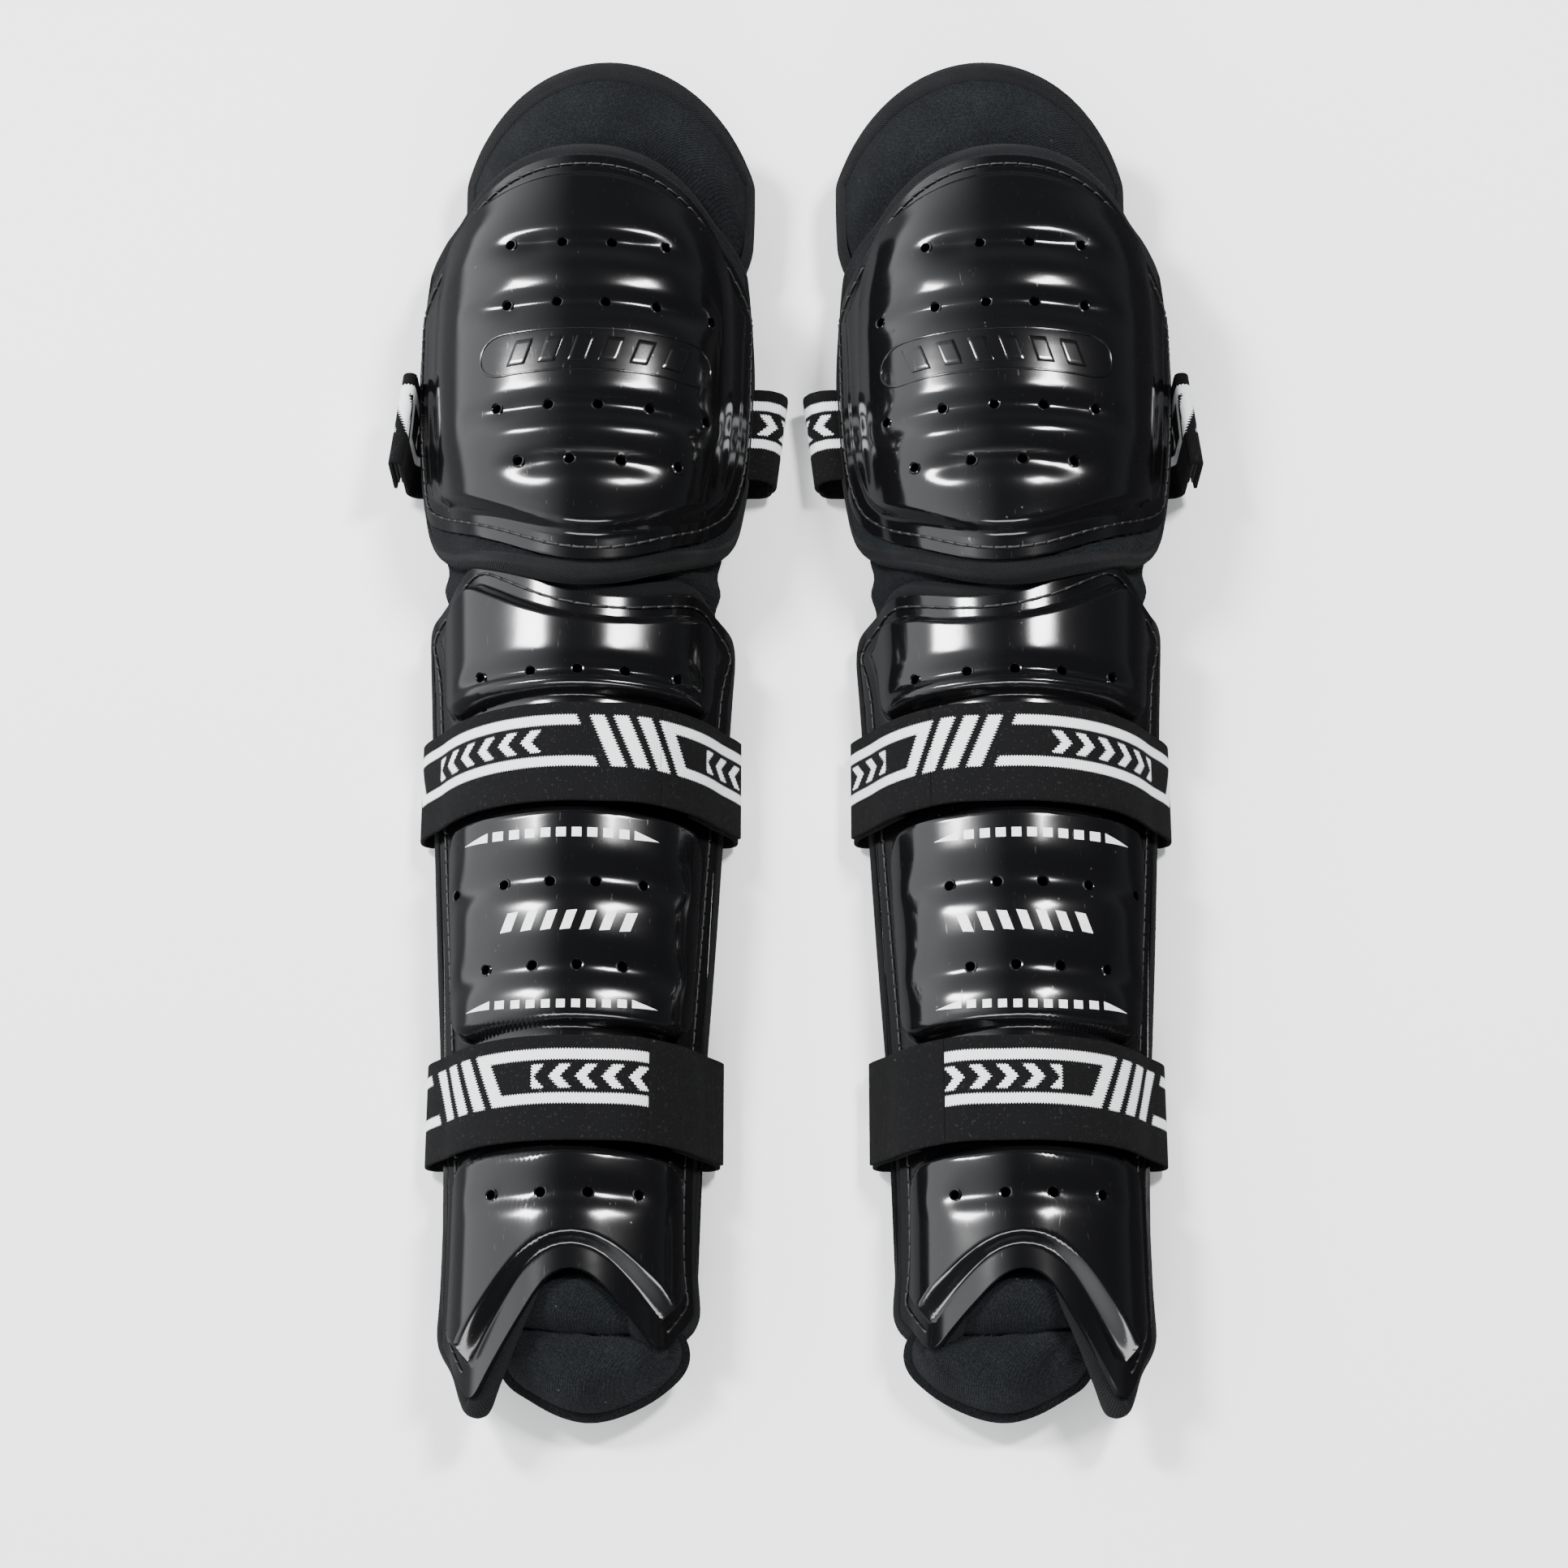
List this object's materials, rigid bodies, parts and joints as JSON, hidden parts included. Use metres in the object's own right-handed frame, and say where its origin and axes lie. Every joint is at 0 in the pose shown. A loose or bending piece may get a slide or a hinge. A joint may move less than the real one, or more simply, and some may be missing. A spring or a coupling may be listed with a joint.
{
  "type": "knee and shin guards",
  "caption": "Mirrored pair of moulded knee and shin guards with padded liners, hinged thigh and instep flaps and elastic straps.",
  "frame": {"origin": "middle of the pair's footprint, on the surface it lies on", "axes": "+X across the pair to the right guard, +Y up the leg towards the thigh, +Z out of the front of the shells"},
  "size_m": [0.319, 0.535, 0.0812],
  "materials": {
    "shell": "moulded high gloss",
    "liner_cloth": "knitted pile cloth",
    "lining_cloth": "brushed knit",
    "foam": "open-cell foam",
    "binding_tape": "herringbone tape",
    "thread": "waxed thread",
    "elastic": "woven elastic",
    "loop_pile": "loop pile",
    "hook_tape": "hook tape"
  },
  "bodies": {
    "left_shin_guard": {"left_shin_shell": "shell", "left_shin_cover": "liner_cloth", "left_shin_foam": "foam", "left_shin_lining": "lining_cloth", "left_shin_binding": "binding_tape", "left_shin_seam": "thread", "left_knee_gusset": "liner_cloth", "left_calf_strap_upper": "elastic", "left_calf_strap_lower": "elastic", "left_calf_loop_patches": "loop_pile"},
    "left_knee_guard": {"left_knee_shell": "shell", "left_knee_cover": "liner_cloth", "left_knee_foam": "foam", "left_knee_lining": "lining_cloth", "left_knee_binding": "binding_tape", "left_knee_seam": "thread", "left_knee_strap": "elastic", "left_knee_loop_patch": "loop_pile"},
    "left_thigh_flap": {"left_thigh_cover": "liner_cloth", "left_thigh_foam": "foam", "left_thigh_binding": "binding_tape"},
    "left_instep_pad": {"left_instep_cover": "liner_cloth", "left_instep_foam": "foam", "left_instep_binding": "binding_tape"},
    "left_calf_tab_upper": {"left_calf_tab_upper": "elastic", "left_calf_hooks_upper": "hook_tape"},
    "left_calf_tab_lower": {"left_calf_tab_lower": "elastic", "left_calf_hooks_lower": "hook_tape"},
    "left_knee_tab": {"left_knee_tab": "elastic", "left_knee_hooks": "hook_tape"},
    "right_shin_guard": {"right_shin_shell": "shell", "right_shin_cover": "liner_cloth", "right_shin_foam": "foam", "right_shin_lining": "lining_cloth", "right_shin_binding": "binding_tape", "right_shin_seam": "thread", "right_knee_gusset": "liner_cloth", "right_calf_strap_upper": "elastic", "right_calf_strap_lower": "elastic", "right_calf_loop_patches": "loop_pile"},
    "right_knee_guard": {"right_knee_shell": "shell", "right_knee_cover": "liner_cloth", "right_knee_foam": "foam", "right_knee_lining": "lining_cloth", "right_knee_binding": "binding_tape", "right_knee_seam": "thread", "right_knee_strap": "elastic", "right_knee_loop_patch": "loop_pile"},
    "right_thigh_flap": {"right_thigh_cover": "liner_cloth", "right_thigh_foam": "foam", "right_thigh_binding": "binding_tape"},
    "right_instep_pad": {"right_instep_cover": "liner_cloth", "right_instep_foam": "foam", "right_instep_binding": "binding_tape"},
    "right_calf_tab_upper": {"right_calf_tab_upper": "elastic", "right_calf_hooks_upper": "hook_tape"},
    "right_calf_tab_lower": {"right_calf_tab_lower": "elastic", "right_calf_hooks_lower": "hook_tape"},
    "right_knee_tab": {"right_knee_tab": "elastic", "right_knee_hooks": "hook_tape"}
  },
  "joints": [
    {"name": "pair_gap", "type": "slide", "parent": "left_shin_guard", "child": "right_shin_guard", "axis": [1, 0, 0], "range_m": [0, 0.25]},
    {"name": "left_knee_bend", "type": "hinge", "parent": "left_shin_guard", "child": "left_knee_guard", "pos_m": [-0.081, 0.065, 0.012], "axis": [-1, 0, 0], "range_deg": [-2, 60], "deforming": ["left_knee_gusset"]},
    {"name": "left_thigh_fold", "type": "hinge", "parent": "left_knee_guard", "child": "left_thigh_flap", "pos_m": [-0.077, 0.226, 0.05], "axis": [-1, 0, 0], "range_deg": [-45, 3]},
    {"name": "left_instep_lift", "type": "hinge", "parent": "left_shin_guard", "child": "left_instep_pad", "pos_m": [-0.081, -0.2065, 0.0395], "axis": [-1, 0, 0], "range_deg": [0, 25]},
    {"name": "left_calf_tab_upper_peel", "type": "hinge", "parent": "left_shin_guard", "child": "left_calf_tab_upper", "pos_m": [-0.04851, -0.022, 0.04817], "axis": [0, -1, 0], "range_deg": [0, 60]},
    {"name": "left_calf_tab_lower_peel", "type": "hinge", "parent": "left_shin_guard", "child": "left_calf_tab_lower", "pos_m": [-0.05209, -0.146, 0.04287], "axis": [0, -1, 0], "range_deg": [0, 60]},
    {"name": "left_knee_tab_peel", "type": "hinge", "parent": "left_knee_guard", "child": "left_knee_tab", "pos_m": [-0.1561, 0.122, 0.04], "axis": [0, 1, 0], "range_deg": [0, 60]},
    {"name": "right_knee_bend", "type": "hinge", "parent": "right_shin_guard", "child": "right_knee_guard", "pos_m": [0.081, 0.065, 0.012], "axis": [-1, 0, 0], "range_deg": [-2, 60], "deforming": ["right_knee_gusset"]},
    {"name": "right_thigh_fold", "type": "hinge", "parent": "right_knee_guard", "child": "right_thigh_flap", "pos_m": [0.077, 0.226, 0.05], "axis": [-1, 0, 0], "range_deg": [-45, 3]},
    {"name": "right_instep_lift", "type": "hinge", "parent": "right_shin_guard", "child": "right_instep_pad", "pos_m": [0.081, -0.2065, 0.0395], "axis": [-1, 0, 0], "range_deg": [0, 25]},
    {"name": "right_calf_tab_upper_peel", "type": "hinge", "parent": "right_shin_guard", "child": "right_calf_tab_upper", "pos_m": [0.04851, -0.022, 0.04817], "axis": [0, 1, 0], "range_deg": [0, 60]},
    {"name": "right_calf_tab_lower_peel", "type": "hinge", "parent": "right_shin_guard", "child": "right_calf_tab_lower", "pos_m": [0.05209, -0.146, 0.04287], "axis": [0, 1, 0], "range_deg": [0, 60]},
    {"name": "right_knee_tab_peel", "type": "hinge", "parent": "right_knee_guard", "child": "right_knee_tab", "pos_m": [0.1561, 0.122, 0.04], "axis": [0, -1, 0], "range_deg": [0, 60]}
  ]
}
